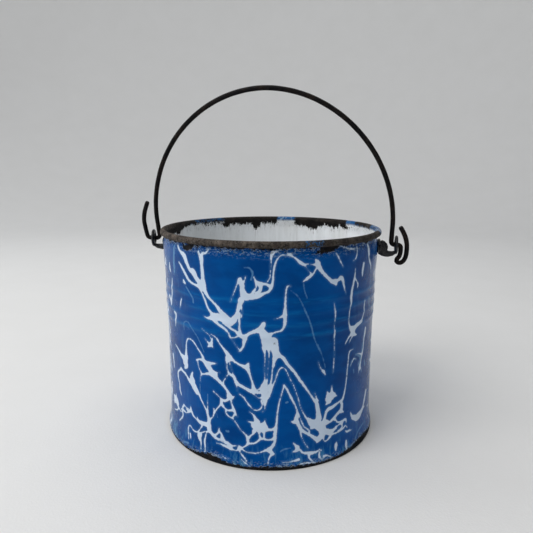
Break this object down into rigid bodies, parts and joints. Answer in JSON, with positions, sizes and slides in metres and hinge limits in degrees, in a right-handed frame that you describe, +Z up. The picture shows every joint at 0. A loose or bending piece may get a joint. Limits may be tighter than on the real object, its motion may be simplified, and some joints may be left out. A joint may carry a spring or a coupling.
{
  "type": "milk pail",
  "caption": "Straight-sided enamelled sheet-steel milk pail with swaged ribs, a wired rolled rim, riveted ears and a swinging wire bail hooked at both ends.",
  "frame": {"origin": "centre of the foot ring, on the surface the pail stands on", "axes": "+Z up, +X through the right ear along the bail's swing axis, -Y the side the bail leans to"},
  "size_m": [0.1742, 0.14, 0.213],
  "materials": {
    "wall_enamel": "gloss vitreous enamel, cobalt blue with white veins outside, off-white inside, chipped at rim and foot",
    "pan_enamel": "gloss vitreous enamel, chipped dark along the foot",
    "rim_iron": "plain drawn wire",
    "ear_enamel": "black enamel, worn",
    "rivet_enamel": "black enamel, worn",
    "bail_steel": "blackened wire with brown rust"
  },
  "bodies": {
    "pail": {"body_wall": "wall_enamel", "bottom_pan": "pan_enamel", "rim_wire": "rim_iron", "left_ear": "ear_enamel", "right_ear": "ear_enamel", "left_rivet_front": "rivet_enamel", "left_rivet_back": "rivet_enamel", "right_rivet_front": "rivet_enamel", "right_rivet_back": "rivet_enamel"},
    "bail": {"bail_wire": "bail_steel"}
  },
  "joints": [
    {"name": "bail_swing", "type": "hinge", "parent": "pail", "child": "bail", "pos_m": [0, 0, 0.1203], "axis": [1, 0, 0], "range_deg": [-147, 119]}
  ]
}
